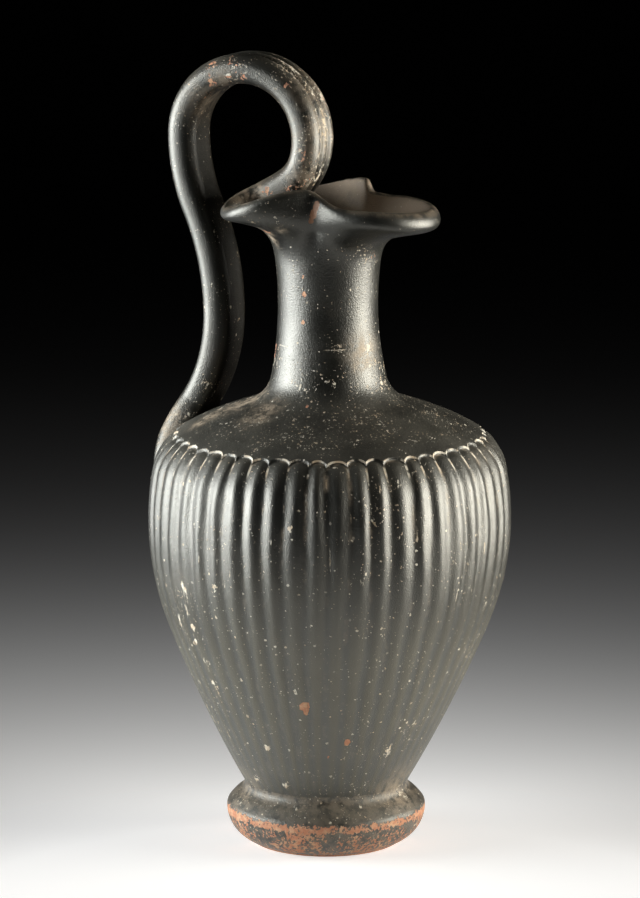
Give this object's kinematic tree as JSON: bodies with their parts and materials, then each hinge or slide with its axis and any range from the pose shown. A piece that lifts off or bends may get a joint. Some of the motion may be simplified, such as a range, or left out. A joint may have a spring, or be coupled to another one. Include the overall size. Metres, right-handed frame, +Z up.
{
  "type": "trefoil oinochoe jug",
  "caption": "Tall black-gloss clay wine jug with a ring foot, ribbed ovoid body, slender neck, pinched trefoil mouth and high looped strap handle, for pouring wine.",
  "frame": {"origin": "centre of the foot's resting ring, on the surface it stands on", "axes": "+Z up along the jug's axis, +X to the spout, -X to the handle; the XZ plane is the mirror plane"},
  "size_m": [0.128, 0.128, 0.2798],
  "materials": {
    "black_gloss_clay": "satin black slip gloss over orange clay, worn to the clay on edges, with pale flecks",
    "luting_slip": "matt fired slip"
  },
  "bodies": {
    "root": {"foot": "black_gloss_clay", "foot_luting": "luting_slip", "belly": "black_gloss_clay", "shoulder_luting": "luting_slip", "shoulder": "black_gloss_clay", "neck_luting": "luting_slip", "neck": "black_gloss_clay", "mouth_luting": "luting_slip", "mouth": "black_gloss_clay", "handle": "black_gloss_clay", "handle_top_luting": "black_gloss_clay", "handle_root_luting": "black_gloss_clay"}
  },
  "joints": []
}
